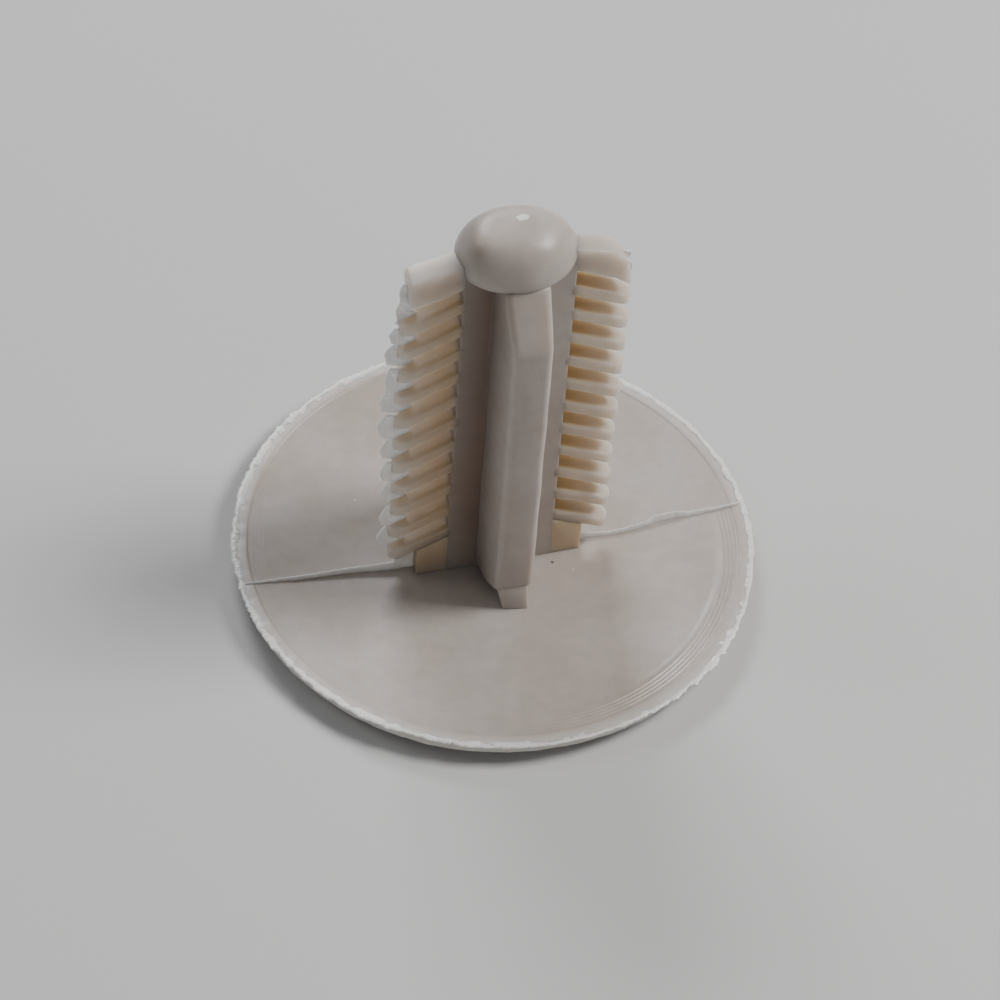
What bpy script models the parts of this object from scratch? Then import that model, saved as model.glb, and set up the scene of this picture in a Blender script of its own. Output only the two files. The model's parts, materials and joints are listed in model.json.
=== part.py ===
"""Push-in wall anchor of natural nylon: a dished disc head that carries a cross-shaped shank.

Two arms of the cross are plain blades. The other two are ladders of barbs that slope towards
the head and bend when the shank is pushed into a hole. A mushroom tip closes the free end.

Units are metres. The underside of the head lies on z = 0, the shank rises along +Z and the
barbed arms point along -X (left) and +X (right).
"""
import math

import bmesh
import bpy

MM = 0.001

# Head
HEAD_RADIUS = 12.5 * MM
HEAD_FLAT_RADIUS = 8.0 * MM      # flat part of the underside
HEAD_RIM_TOP = 1.2 * MM
HEAD_RIM_THICKNESS = 0.55 * MM
HEAD_RIM_LAND = 0.6 * MM         # flat ring along the edge of the seat
HEAD_RIM_STEP = 0.04 * MM        # the dish starts this far below the land
HEAD_CENTRE_TOP = 0.6 * MM       # lowest point of the dish
HEAD_EDGE_ROUND = 0.08 * MM
HEAD_STEPS = 96
DISH_RINGS = 8

# Shank
ARM_CENTRE_Y = -0.28 * MM        # the barbed arms sit a little in front of the head's centre
ARM_HALF_WIDTH = 0.58 * MM       # half the thickness of the spine and the barbed arms
BLADE_HALF_WIDTH = 0.85 * MM     # half the thickness of the plain blades
SPINE_HALF_LENGTH = 2.6 * MM     # half the spine's size along X
SHANK_TOP = 20.5 * MM            # where the tip begins
SEAM = 0.02 * MM                 # clearance between neighbouring bodies
EDGE_ROUND = 0.12 * MM
FRONT_ROOT = ARM_HALF_WIDTH - ARM_CENTRE_Y + SEAM    # inner end of the front blade
REAR_ROOT = ARM_HALF_WIDTH + ARM_CENTRE_Y + SEAM     # inner end of the rear blade
BLADE_REACH = 3.75 * MM          # outer face of a blade, from the shank's axis
BLADE_ROOT_BOTTOM = 0.8 * MM     # the blade's lower edge drops to this beside the spine
BLADE_UNDERSIDE = (              # distance from the axis and height along the lower edge
    (2.0 * MM, 0.95 * MM),
    (2.55 * MM, 1.15 * MM),
    (3.4 * MM, 1.66 * MM),
    (BLADE_REACH, 1.95 * MM),
)
BLADE_TOP = 18.2 * MM            # top of the outer face, below the lead-in slope
BLADE_LEAD_REACH = 2.1 * MM      # where the lead-in slope meets the tip
BLADE_EDGE_ROUND = 0.3 * MM
FOOT_HALF_WIDTH = 0.6 * MM
FOOT_OUTER = 3.95 * MM

# Barbs
BARB_COUNT = 11                  # levels on each side, numbered from the tip to the head
BARB_PITCH = 1.536 * MM
BARB_TOP_Z = 19.16 * MM          # upper edge of the top barb at the spine
BARB_THICKNESS = 0.75 * MM       # measured upright
BARB_SLOPE = math.tan(math.radians(25.0))
BARB_REACH = 5.38 * MM           # outermost point of a barb
BARB_END_STEPS = 12
BARB_EDGE_ROUND = 0.09 * MM

# Caps above the barbs: distance from the axis and height along the outer outline
CAP_ROOT_BOTTOM = 20.0 * MM
CAP_TIP_CLEARANCE = 2.9 * MM     # inner end of the cap where the tip is beside it
CAP_TOP = 21.28 * MM
RIGHT_CAP_OUTLINE = (
    (4.4 * MM, 19.22 * MM),
    (5.17 * MM, 18.62 * MM),
    (5.15 * MM, 18.95 * MM),
    (5.02 * MM, 19.95 * MM),
    (4.36 * MM, 20.81 * MM),
    (3.56 * MM, 21.1 * MM),
)
LEFT_CAP_OUTLINE = (
    (3.64 * MM, 19.5 * MM),
    (4.85 * MM, 19.2 * MM),
    (4.9 * MM, 20.6 * MM),
    (4.47 * MM, 20.86 * MM),
    (3.71 * MM, 21.08 * MM),
)

# Gussets between the head and the lowest barbs
GUSSET_INNER = 2.63 * MM
GUSSET_OUTER = 4.05 * MM
GUSSET_HALF_WIDTH = 0.56 * MM
GUSSET_GAP = 0.03 * MM

# Tip
TIP_RADIUS = 2.84 * MM
TIP_FOOT_RADIUS = 2.3 * MM       # underside, inside the chamfer
TIP_WIDEST_LOW = 20.95 * MM
TIP_WIDEST_HIGH = 21.35 * MM
TIP_HEIGHT = 23.1 * MM
TIP_STEPS = 48
TIP_RINGS = 8

MERGE_DISTANCE = 1e-7
SMOOTH_ANGLE = math.radians(30.0)


def clear_scene():
    """Remove every object that the new file starts with."""
    for obj in list(bpy.data.objects):
        bpy.data.objects.remove(obj, do_unlink=True)


def new_collection(name):
    """Return a new collection linked to the scene."""
    collection = bpy.data.collections.new(name)
    bpy.context.scene.collection.children.link(collection)
    return collection


def nylon(name, colour, roughness):
    """Return a plain Principled material in one tone of natural nylon."""
    material = bpy.data.materials.new(name)
    material.use_nodes = True
    shader = material.node_tree.nodes["Principled BSDF"]
    shader.inputs["Base Color"].default_value = (*colour, 1.0)
    shader.inputs["Roughness"].default_value = roughness
    material.diffuse_color = (*colour, 1.0)
    return material


def add_object(name, mesh, collection, material, location=(0.0, 0.0, 0.0)):
    """Link a mesh to the collection as one object with one material."""
    mesh.materials.append(material)
    obj = bpy.data.objects.new(name, mesh)
    obj.location = location
    collection.objects.link(obj)
    return obj


def shade(obj):
    """Shade round stretches smooth and keep the corners crisp."""
    obj.data.polygons.foreach_set("use_smooth", [True] * len(obj.data.polygons))
    obj.data.set_sharp_from_angle(angle=SMOOTH_ANGLE)


def add_bevel(obj, width, segments=2):
    """Round the sharp edges of a body."""
    bevel = obj.modifiers.new("Edge rounding", "BEVEL")
    bevel.width = width
    bevel.segments = segments
    bevel.limit_method = "ANGLE"
    bevel.angle_limit = math.radians(35.0)
    bevel.use_clamp_overlap = True


def add_revolve(obj, steps):
    """Turn a profile drawn in the XZ plane about the Z axis."""
    screw = obj.modifiers.new("Revolve", "SCREW")
    screw.axis = "Z"
    screw.angle = 2.0 * math.pi
    screw.steps = steps
    screw.render_steps = steps
    screw.use_merge_vertices = True
    screw.merge_threshold = MERGE_DISTANCE
    screw.use_normal_calculate = True


def profile_mesh(name, points):
    """Return an open edge chain in the XZ plane, for add_revolve."""
    mesh = bpy.data.meshes.new(name)
    vertices = [(radius, 0.0, height) for radius, height in points]
    edges = [(index, index + 1) for index in range(len(points) - 1)]
    mesh.from_pydata(vertices, edges, [])
    return mesh


def prism_mesh(name, lower, upper):
    """Return a closed body between two matching rings of points."""
    form = bmesh.new()
    low = [form.verts.new(point) for point in lower]
    high = [form.verts.new(point) for point in upper]
    form.faces.new(low)
    form.faces.new(high)
    for index in range(len(low)):
        following = (index + 1) % len(low)
        form.faces.new((low[index], low[following], high[following], high[index]))
    bmesh.ops.recalc_face_normals(form, faces=form.faces)
    mesh = bpy.data.meshes.new(name)
    form.to_mesh(mesh)
    form.free()
    return mesh


def slab_along_y(name, outline, half_width):
    """Return a body of the barbed arms, whose outline lies in the XZ plane."""
    front = [(x, ARM_CENTRE_Y - half_width, z) for x, z in outline]
    back = [(x, ARM_CENTRE_Y + half_width, z) for x, z in outline]
    return prism_mesh(name, front, back)


def slab_along_x(name, outline, half_width):
    """Return a body whose outline lies in the YZ plane."""
    left = [(-half_width, y, z) for y, z in outline]
    right = [(half_width, y, z) for y, z in outline]
    return prism_mesh(name, left, right)


def dish_height(radius):
    """Height of the head's upper surface inside the rim land."""
    edge = HEAD_RADIUS - HEAD_RIM_LAND
    rise = HEAD_RIM_TOP - HEAD_RIM_STEP - HEAD_CENTRE_TOP
    return HEAD_CENTRE_TOP + rise * (radius / edge) ** 2


def build_head(collection, material):
    """Round head: flat underside that lifts towards the rim, dished seat and a flat rim land."""
    rim_bottom = HEAD_RIM_TOP - HEAD_RIM_THICKNESS
    land_inner = HEAD_RADIUS - HEAD_RIM_LAND
    points = [
        (0.0, 0.0),
        (HEAD_FLAT_RADIUS, 0.0),
        (HEAD_RADIUS - HEAD_EDGE_ROUND, rim_bottom),
        (HEAD_RADIUS, rim_bottom + HEAD_EDGE_ROUND),
        (HEAD_RADIUS, HEAD_RIM_TOP - HEAD_EDGE_ROUND),
        (HEAD_RADIUS - HEAD_EDGE_ROUND, HEAD_RIM_TOP),
        (land_inner, HEAD_RIM_TOP),
    ]
    for ring in range(DISH_RINGS, -1, -1):
        radius = land_inner * ring / DISH_RINGS
        points.append((radius, dish_height(radius)))
    head = add_object("head_disc", profile_mesh("head_disc", points), collection, material)
    add_revolve(head, HEAD_STEPS)
    return head


def build_tip(collection, material):
    """Mushroom tip with a chamfered underside."""
    points = [(0.0, SHANK_TOP + SEAM), (TIP_FOOT_RADIUS, SHANK_TOP + SEAM)]
    points.append((TIP_RADIUS, TIP_WIDEST_LOW))
    for ring in range(TIP_RINGS + 1):
        angle = 0.5 * math.pi * ring / TIP_RINGS
        height = TIP_WIDEST_HIGH + (TIP_HEIGHT - TIP_WIDEST_HIGH) * math.sin(angle)
        points.append((TIP_RADIUS * math.cos(angle), height))
    points[-1] = (0.0, TIP_HEIGHT)
    tip = add_object("tip", profile_mesh("tip", points), collection, material)
    add_revolve(tip, TIP_STEPS)
    return tip


def build_spine(collection, material):
    """Flat core of the shank, which every arm grows from."""
    bottom = dish_height(SPINE_HALF_LENGTH + BLADE_HALF_WIDTH) + SEAM
    outline = [
        (-SPINE_HALF_LENGTH, bottom),
        (SPINE_HALF_LENGTH, bottom),
        (SPINE_HALF_LENGTH, SHANK_TOP),
        (-SPINE_HALF_LENGTH, SHANK_TOP),
    ]
    spine = add_object(
        "shank_spine", slab_along_y("shank_spine", outline, ARM_HALF_WIDTH), collection, material
    )
    add_bevel(spine, EDGE_ROUND)
    return spine


def build_blade(name, side, root, collection, material):
    """Plain arm of the cross; side is -1 for the front blade and 1 for the rear one."""
    outline = [(side * root, BLADE_ROOT_BOTTOM)]
    outline += [(side * reach, height) for reach, height in BLADE_UNDERSIDE]
    outline += [
        (side * BLADE_REACH, BLADE_TOP),
        (side * BLADE_LEAD_REACH, SHANK_TOP),
        (side * root, SHANK_TOP),
    ]
    mesh = slab_along_x(name, outline, BLADE_HALF_WIDTH)
    blade = add_object(name, mesh, collection, material)
    add_bevel(blade, BLADE_EDGE_ROUND, 3)
    return blade


def build_foot(name, side, collection, material):
    """Small strut between the head and the outer end of a blade."""
    bottom = dish_height(FOOT_OUTER) + SEAM
    inner, inner_top = BLADE_UNDERSIDE[1]
    middle, middle_top = BLADE_UNDERSIDE[2]
    outer, outer_top = BLADE_UNDERSIDE[3]
    outline = [
        (side * inner, bottom),
        (side * FOOT_OUTER, bottom),
        (side * outer, outer_top - SEAM),
        (side * middle, middle_top - SEAM),
        (side * inner, inner_top - SEAM),
    ]
    mesh = slab_along_x(name, outline, FOOT_HALF_WIDTH)
    return add_object(name, mesh, collection, material)


def barb_root_bottom(level):
    """Height of a barb's lower edge at the spine."""
    return BARB_TOP_Z - BARB_THICKNESS - (level - 1) * BARB_PITCH


def build_barb(name, side, level, collection, material):
    """Sloping tongue with a round end; its origin is the lower edge of its root."""
    root = SPINE_HALF_LENGTH + SEAM
    end_centre = BARB_REACH - ARM_HALF_WIDTH - root
    plan = [(0.0, -ARM_HALF_WIDTH)]
    for step in range(BARB_END_STEPS + 1):
        angle = math.pi * (step / BARB_END_STEPS - 0.5)
        x = end_centre + ARM_HALF_WIDTH * math.cos(angle)
        plan.append((x, ARM_HALF_WIDTH * math.sin(angle)))
    plan.append((0.0, ARM_HALF_WIDTH))
    lower = [(side * x, y, -BARB_SLOPE * x) for x, y in plan]
    upper = [(x, y, z + BARB_THICKNESS) for x, y, z in lower]
    barb = add_object(
        name,
        prism_mesh(name, lower, upper),
        collection,
        material,
        (side * root, ARM_CENTRE_Y, barb_root_bottom(level)),
    )
    add_bevel(barb, BARB_EDGE_ROUND, 1)
    return barb


def build_cap(name, side, outer_outline, collection, material):
    """Solid block above the barbs, whose underside slopes like a barb."""
    root = SPINE_HALF_LENGTH + SEAM
    outline = [(side * root, CAP_ROOT_BOTTOM)]
    outline += [(side * reach, height) for reach, height in outer_outline]
    outline += [
        (side * CAP_TIP_CLEARANCE, CAP_TOP),
        (side * CAP_TIP_CLEARANCE, SHANK_TOP - SEAM),
        (side * root, SHANK_TOP - SEAM),
    ]
    mesh = slab_along_y(name, outline, ARM_HALF_WIDTH)
    cap = add_object(name, mesh, collection, material)
    add_bevel(cap, EDGE_ROUND)
    return cap


def build_gusset(name, side, collection, material):
    """Wedge between the head and the lowest barb, with its top parallel to the barb."""
    root = SPINE_HALF_LENGTH + SEAM
    bottom = dish_height(math.hypot(GUSSET_OUTER, ARM_HALF_WIDTH - ARM_CENTRE_Y)) + SEAM
    barb_bottom = barb_root_bottom(BARB_COUNT) - GUSSET_GAP
    outline = [
        (side * GUSSET_INNER, bottom),
        (side * GUSSET_OUTER, bottom),
        (side * GUSSET_OUTER, barb_bottom - BARB_SLOPE * (GUSSET_OUTER - root)),
        (side * GUSSET_INNER, barb_bottom - BARB_SLOPE * (GUSSET_INNER - root)),
    ]
    mesh = slab_along_y(name, outline, GUSSET_HALF_WIDTH)
    return add_object(name, mesh, collection, material)


def main():
    """Build the whole anchor."""
    clear_scene()
    anchor = new_collection("Wall anchor")
    head_nylon = nylon("Head nylon", (0.56, 0.52, 0.48), 0.45)
    shank_nylon = nylon("Shank nylon", (0.58, 0.54, 0.49), 0.42)
    barb_nylon = nylon("Barb nylon", (0.62, 0.57, 0.50), 0.40)
    tip_nylon = nylon("Tip nylon", (0.60, 0.56, 0.52), 0.38)

    round_parts = [build_head(anchor, head_nylon), build_tip(anchor, tip_nylon)]
    build_spine(anchor, shank_nylon)
    blades = (("front", -1.0, FRONT_ROOT), ("rear", 1.0, REAR_ROOT))
    for name, side, root in blades:
        build_blade(name + "_blade", side, root, anchor, shank_nylon)
        build_foot(name + "_foot", side, anchor, shank_nylon)

    arms = (("left", -1.0, LEFT_CAP_OUTLINE), ("right", 1.0, RIGHT_CAP_OUTLINE))
    for name, side, cap_outline in arms:
        build_cap(name + "_cap", side, cap_outline, anchor, barb_nylon)
        build_gusset(name + "_gusset", side, anchor, barb_nylon)
        for level in range(1, BARB_COUNT + 1):
            barb = build_barb(f"{name}_barb_{level:02d}", side, level, anchor, barb_nylon)
            round_parts.append(barb)
    for obj in round_parts:
        shade(obj)


main()
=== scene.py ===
"""Looks of the push-in wall anchor: one moulding of natural nylon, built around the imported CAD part.

The frame is the CAD frame: the head's underside lies on z = 0, the shank rises along +Z and the
barbed arms point along -X (left) and +X (right). Lengths are in metres, unless a comment says
that they are in millimetres.
"""

import json
import math
import random

import bmesh
import bpy
import numpy as np
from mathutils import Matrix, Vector, noise

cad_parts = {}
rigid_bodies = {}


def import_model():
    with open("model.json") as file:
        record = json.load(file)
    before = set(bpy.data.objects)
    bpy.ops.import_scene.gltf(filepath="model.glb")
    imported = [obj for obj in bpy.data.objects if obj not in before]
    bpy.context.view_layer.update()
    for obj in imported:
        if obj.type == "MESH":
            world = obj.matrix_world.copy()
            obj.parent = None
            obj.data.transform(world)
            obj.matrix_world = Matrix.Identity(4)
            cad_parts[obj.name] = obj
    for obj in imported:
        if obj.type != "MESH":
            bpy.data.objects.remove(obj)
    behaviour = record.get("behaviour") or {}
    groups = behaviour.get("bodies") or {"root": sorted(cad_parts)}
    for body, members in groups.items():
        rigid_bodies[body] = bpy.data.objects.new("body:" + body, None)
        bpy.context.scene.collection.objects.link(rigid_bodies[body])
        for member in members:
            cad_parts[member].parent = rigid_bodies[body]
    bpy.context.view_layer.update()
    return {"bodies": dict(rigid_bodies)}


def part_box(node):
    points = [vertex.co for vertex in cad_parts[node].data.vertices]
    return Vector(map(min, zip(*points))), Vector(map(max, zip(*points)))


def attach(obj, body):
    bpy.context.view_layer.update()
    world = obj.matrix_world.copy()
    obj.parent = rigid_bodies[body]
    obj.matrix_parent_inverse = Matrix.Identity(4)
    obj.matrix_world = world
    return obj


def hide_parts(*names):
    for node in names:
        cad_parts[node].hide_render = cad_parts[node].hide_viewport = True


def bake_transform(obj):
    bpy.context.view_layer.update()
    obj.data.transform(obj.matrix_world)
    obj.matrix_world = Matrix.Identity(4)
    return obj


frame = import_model()

MM = 0.001

# Camera: from the front, a little to the left and well above
CAMERA_AZIMUTH = math.radians(-18.0)
CAMERA_ELEVATION = math.radians(49.0)
CAMERA_ROLL = math.radians(4.7)
CAMERA_DISTANCE = 200.0 * MM
CAMERA_LENS = 150.4
CAMERA_SENSOR = 36.0
CAMERA_NEAREST = 5.0 * MM
CAMERA_AIM_RIGHT = 0.13 * MM
CAMERA_AIM_UP = 1.94 * MM

# Lights: name, azimuth and elevation in degrees, distance, sides, power, colour
LIGHTS = (
    ("Key", 84.0, 48.0, 0.35, (0.12, 0.12), 1.15, (1.0, 0.98, 0.96)),
    ("Sheen", 184.0, 38.0, 0.35, (0.14, 0.08), 0.6, (0.99, 0.99, 1.0)),
    ("Back left", 245.0, 38.0, 0.4, (0.16, 0.16), 0.22, (0.97, 0.98, 1.0)),
    ("Front", 0.0, 45.0, 0.4, (0.25, 0.25), 0.1, (1.0, 0.97, 0.94)),
)
LIGHT_AIM = (0.0, 0.0, 10.0 * MM)
SKY_COLOUR = (0.96, 0.98, 1.0, 1.0)
SKY_STRENGTH = 0.10
FLOOR_HALF = 0.6
FLOOR_DROP = 0.02 * MM
FLOOR_COLOUR = (0.62, 0.62, 0.62, 1.0)
FLOOR_ROUGHNESS = 0.8

# Colours of the nylon
PALE = (0.52, 0.475, 0.445, 1.0)
WARM = (0.47, 0.41, 0.365, 1.0)
AMBER_SHADE = (0.33, 0.23, 0.11, 1.0)          # painted shade deep between the barbs
SHADE = (0.16, 0.095, 0.06, 1.0)         # in the corners of the cross
GLOW = (0.60, 0.46, 0.30, 1.0)           # painted warm glow of light in the gussets
THIN_AND_LIT_WHITE = (0.90, 0.89, 0.87, 1.0)          # whiter where the plastic is very thin, and painted light where light shines through it
FLECK_WHITE = (0.9, 0.89, 0.86, 1.0)
DIRT_PALE = (0.05, 0.045, 0.04, 1.0)
DIRT_WARM = (0.08, 0.07, 0.05, 1.0)

# Texture of the nylon: noise scales, per metre
CLOUD_SCALE = 260.0
MOTTLE_SCALE = 1500.0
SPECK_SCALE = 900.0
RARE_SCALE = 420.0
SMEAR_SCALE = 600.0
GRAIN_SCALE = 5200.0
FLECK_STRENGTH = 0.35
NYLON_IOR = 1.53
NYLON_SPECULAR = 0.45
NYLON_REACH = 1.1                        # how far light travels inside, in millimetres
NYLON_SPREAD = (1.0, 0.82, 0.62)         # that distance in red, green and blue, as shares
FLASH_SPREAD = (1.0, 0.98, 0.95)

# Head
RIM_RADIUS = 12.4 * MM
RIM_TOP = 1.2 * MM
RIM_THICKNESS = 0.5 * MM
RIM_CORNER = 0.07 * MM
RIM_CORNER_STEPS = 5
LAND_INNER = 11.78 * MM
LAND_STEP = 0.04 * MM
DISH_CENTRE = 0.6 * MM
UNDERSIDE_FLAT = 8.0 * MM
UNDERSIDE_CURVE = 1.3
UNDERSIDE_RADII = (6.0, 4.0, 2.0, 0.4)   # millimetres
EDGE_WAVES = ((3, 0.02), (7, 0.015), (19, 0.01), (43, 0.008))   # count, size in millimetres
SWAY_WAVES = ((2, 0.02), (3, 0.015))
SWAY_ABOVE = 0.3 * MM
STREAK_CELLS = 260
STREAK_HEIGHT = 0.05 * MM
HEAD_SEGMENTS = 720
EDGE_THIN = 0.45

# Turning marks inside the rim land, strongest at the right front
GROOVE_INNER = 10.95 * MM
GROOVE_PITCH = 0.19 * MM
GROOVE_DEPTH = 0.034 * MM
GROOVE_END_GAP = 0.04 * MM
GROOVE_AZIMUTH = 315.0
GROOVE_SPREAD = 34.0
GROOVE_ALL_ROUND = 0.03

# Flash round the rim
FLASH_SEGMENTS = 2160
FLASH_NOISE = ((70, 11, 0.25), (240, 12, 0.3), (620, 13, 0.2))  # cells, seed, share of the reach
CHIP_CELLS = 200
CHIP_SHARE = 0.25
CHIP_STEPS = 3.0
FLASH_LEAST = 0.14                       # millimetres, as are the next three
FLASH_MORE_LEFT = 0.20
FLASH_MORE_RIGHT = 0.28
FLASH_BASE = 0.02
FLASH_LEFT_AZIMUTH = 140.0
FLASH_RIGHT_AZIMUTH = 307.0
FLASH_RIGHT_SPREAD = 16.0
FLASH_THIN = 0.9

# Fins of flash on the parting line, in millimetres
FIN_FOOT = 0.10
FIN_SHOULDER = 0.045
FIN_EDGE = 0.018
FIN_SINK = 0.06
FIN_STATIONS = 140
FIN_THIN = 0.8

# Dark fleck of dirt in the seat, in millimetres
DIRT_X = 2.55
DIRT_Y = -1.45
DIRT_RADIUS = 0.075
DIRT_LEVELS = ((-0.02, 0.6), (0.0, 1.0), (0.012, 0.85), (0.02, 0.4))
DIRT_AROUND = 14

# Shank
SPINE_HALF = 2.6 * MM
SPINE_BOTTOM = 0.55 * MM
SHANK_TOP = 20.55 * MM
FILLET = 0.5 * MM
FILLET_STEPS = 6
ARM_CENTRE = -0.28 * MM
ARM_HALF = 0.585 * MM
BLADE_HALF = 0.86 * MM
BLADE_REACH = 3.75 * MM
BLADE_LEAD = 2.1 * MM
BLADE_TOP = 18.2 * MM
BLADE_ROOT = (0.5 * MM, 0.78 * MM)
BLADE_UNDERSIDE = (
    (2.0 * MM, 0.93 * MM), (2.55 * MM, 1.13 * MM), (3.4 * MM, 1.64 * MM), (3.75 * MM, 1.95 * MM),
)
BLADE_ROUNDING = 0.3 * MM
BLADE_SLICES = 40
BLADE_EDGE_SCALE = 1.06          # how thick the outer edge is, as a share
BLADE_DRAFT = 0.30               # how much thicker a blade is at its root, as a share
CORNER_HALF = 0.66 * MM          # half thickness left at the lower outer corner on the right
CORNER_HEIGHT = 1.6 * MM
CORNER_RISE = 0.42
CORNER_DEPTH = 3.1 * MM
CORNER_SWELL = 1.2

# Barbs
LEVELS = 11
SLOPE = math.tan(math.radians(25.0))
BARB_THICKNESS = 0.75 * MM
BARB_SQUARENESS = 0.34           # the lower, the squarer a barb's cross-section
BARB_AROUND = 28
BARB_END_STEPS = 12
ROOT_SINK = 0.15 * MM

# Arms' caps, gussets and flash
CAP_ROUNDING = 0.09 * MM
GUSSET_REACH = 4.05 * MM
GUSSET_ROOT = 2.6 * MM
GUSSET_SLOPE_START = 2.63 * MM
ARM_INSIDE = 2.4 * MM
LOBE_PLANE = -0.3 * MM
LOBE_SHIFT = 0.065               # millimetres to the front or the back, by turns
PLATE_BEAD = 0.05                # half thickness of a plate's edge, in millimetres
PLATE_SKIN = 0.022               # half thickness of its middle

# Tip
TIP_CENTRE = Vector((-0.06 * MM, 0.0, 20.97 * MM))
TIP_RISE = 1.95 * MM
TIP_FLOOR = 0.62 * MM
TIP_FLATTEN = 0.81               # the tip is narrower along Y
TIP_SCALE = 1.025
TIP_SOFTNESS = 11.0              # the higher, the crisper the ridges
TIP_LEVELS = 72
TIP_AROUND = 144
TIP_GIRDLES = ((-42.0, 2.42), (0.0, 2.96), (18.0, 2.98))        # elevation, distance in millimetres
TIP_FACETS = (                   # azimuth, elevation, distance of the broad soft facets
    (33.0, 46.0, 2.46), (112.0, 46.0, 2.42), (-20.0, 44.0, 2.5), (-104.0, 42.0, 2.55),
    (172.0, 44.0, 2.62), (72.0, 50.0, 2.3), (-62.0, 66.0, 2.26),
)

# Scar of the runner on the tip, in millimetres
GATE_X = 0.22
GATE_Y = 0.15
GATE_Z = 22.84
GATE_LONG = 0.42
GATE_SHORT = 0.30
GATE_LEVELS = ((-0.12, 1.0), (0.02, 1.0), (0.07, 0.85), (0.09, 0.5))
GATE_AROUND = 36

RNG = random.Random(7)


# ---------------------------------------------------------------- mesh helpers

def link(name, mesh, material, body="anchor"):
    mesh.materials.clear()
    mesh.materials.append(material)
    obj = bpy.data.objects.new(name, mesh)
    bpy.context.scene.collection.objects.link(obj)
    if body:
        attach(obj, body)
    return obj


def smooth(mesh, angle=40.0):
    """Shade smooth, with the edges sharper than the angle kept crisp."""
    mesh.polygons.foreach_set("use_smooth", [True] * len(mesh.polygons))
    mesh.set_sharp_from_angle(angle=math.radians(angle))


def loft(name, rings, capped=True):
    """Join rings of equal length into a skin, with a fan on each end if it is capped."""
    rings = np.asarray(rings, float)
    count, around, _ = rings.shape
    vertices = rings.reshape(-1, 3).tolist()
    index = np.arange(count * around).reshape(count, around)
    following = np.roll(index, -1, axis=1)
    quads = np.stack([index[:-1], following[:-1], following[1:], index[1:]], axis=-1)
    faces = quads.reshape(-1, 4).tolist()
    ends = ((0, True), (count - 1, False)) if capped else ()
    for ring, flip in ends:
        centre = len(vertices)
        vertices.append(rings[ring].mean(axis=0).tolist())
        for a, b in zip(index[ring], following[ring]):
            face = [int(a), int(b), centre]
            faces.append(face[::-1] if flip else face)
    mesh = bpy.data.meshes.new(name)
    mesh.from_pydata(vertices, [], faces)
    form = bmesh.new()
    form.from_mesh(mesh)
    bmesh.ops.remove_doubles(form, verts=form.verts, dist=1e-8)
    bmesh.ops.recalc_face_normals(form, faces=form.faces)
    form.to_mesh(mesh)
    form.free()
    return mesh


def prism(name, lower, upper):
    """Closed body between two matching outlines."""
    form = bmesh.new()
    low = [form.verts.new(p) for p in lower]
    high = [form.verts.new(p) for p in upper]
    form.faces.new(low)
    form.faces.new(high)
    for i in range(len(low)):
        j = (i + 1) % len(low)
        form.faces.new((low[i], low[j], high[j], high[i]))
    bmesh.ops.recalc_face_normals(form, faces=form.faces)
    mesh = bpy.data.meshes.new(name)
    form.to_mesh(mesh)
    form.free()
    return mesh


def apply_modifiers(obj):
    """Bake the modifier stack into the mesh."""
    graph = bpy.context.evaluated_depsgraph_get()
    mesh = bpy.data.meshes.new_from_object(obj.evaluated_get(graph), depsgraph=graph)
    obj.modifiers.clear()
    old = obj.data
    obj.data = mesh
    bpy.data.meshes.remove(old)


def round_edges(obj, width, segments):
    """Round a body's edges and apply it, so that the mesh can be worked further."""
    bevel = obj.modifiers.new("Round", "BEVEL")
    bevel.width = width
    bevel.segments = segments
    bevel.limit_method = "ANGLE"
    bevel.angle_limit = math.radians(30.0)
    apply_modifiers(obj)


def cut_along_z(mesh, cuts):
    """Slice a mesh level by level, so that long faces can carry unevenness."""
    form = bmesh.new()
    form.from_mesh(mesh)
    heights = [v.co.z for v in form.verts]
    low, high = min(heights), max(heights)
    for step in range(1, cuts):
        level = low + (high - low) * step / cuts
        geometry = form.verts[:] + form.edges[:] + form.faces[:]
        bmesh.ops.bisect_plane(
            form, geom=geometry, dist=1e-8, plane_co=(0.0, 0.0, level), plane_no=(0.0, 0.0, 1.0)
        )
    form.to_mesh(mesh)
    form.free()


def roughen(mesh, size, amount, seed):
    """Push vertices along their normals by smooth noise, for the unevenness of a cheap mould."""
    offset = Vector((seed * 1.7, seed * 0.9, seed * 2.3))
    moves = []
    for vertex in mesh.vertices:
        value = noise.noise(vertex.co / size + offset)
        moves.append(vertex.co + vertex.normal * value * amount)
    for vertex, place in zip(mesh.vertices, moves):
        vertex.co = place
    mesh.update()


def set_attribute(mesh, name, values):
    """Store one float for each vertex; a single number serves them all."""
    layer = mesh.attributes.new(name, "FLOAT", "POINT")
    each = np.broadcast_to(np.asarray(values, np.float32), len(mesh.vertices))
    layer.data.foreach_set("value", np.ascontiguousarray(each))


def coordinates(mesh):
    """Places of the vertices, one row each."""
    return np.array([v.co for v in mesh.vertices])


def facing_y(mesh):
    """How squarely each vertex faces the front or the back, from 0 to 1."""
    return np.abs(np.array([v.normal.y for v in mesh.vertices]))


def share_between(value, low, high):
    """Where a value lies between low and high, held within 0 and 1."""
    return np.clip((value - low) / (high - low), 0.0, 1.0)


def wave(angles, parts, seed):
    """Sum of sines round the rim: parts are (count round the rim, size)."""
    draw = random.Random(seed)
    total = np.zeros_like(angles)
    for count, size in parts:
        total += size * np.sin(count * angles + draw.uniform(0.0, 2.0 * math.pi))
    return total


def value_noise(angles, cells, seed):
    """Periodic noise from 0 to 1 with a set number of cells round the rim."""
    draw = np.random.default_rng(seed)
    knots = draw.random(cells)
    place = (angles / (2.0 * math.pi)) % 1.0 * cells
    low = np.floor(place).astype(int) % cells
    share = place - np.floor(place)
    share = share * share * (3.0 - 2.0 * share)
    return knots[low] * (1.0 - share) + knots[(low + 1) % cells] * share


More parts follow.
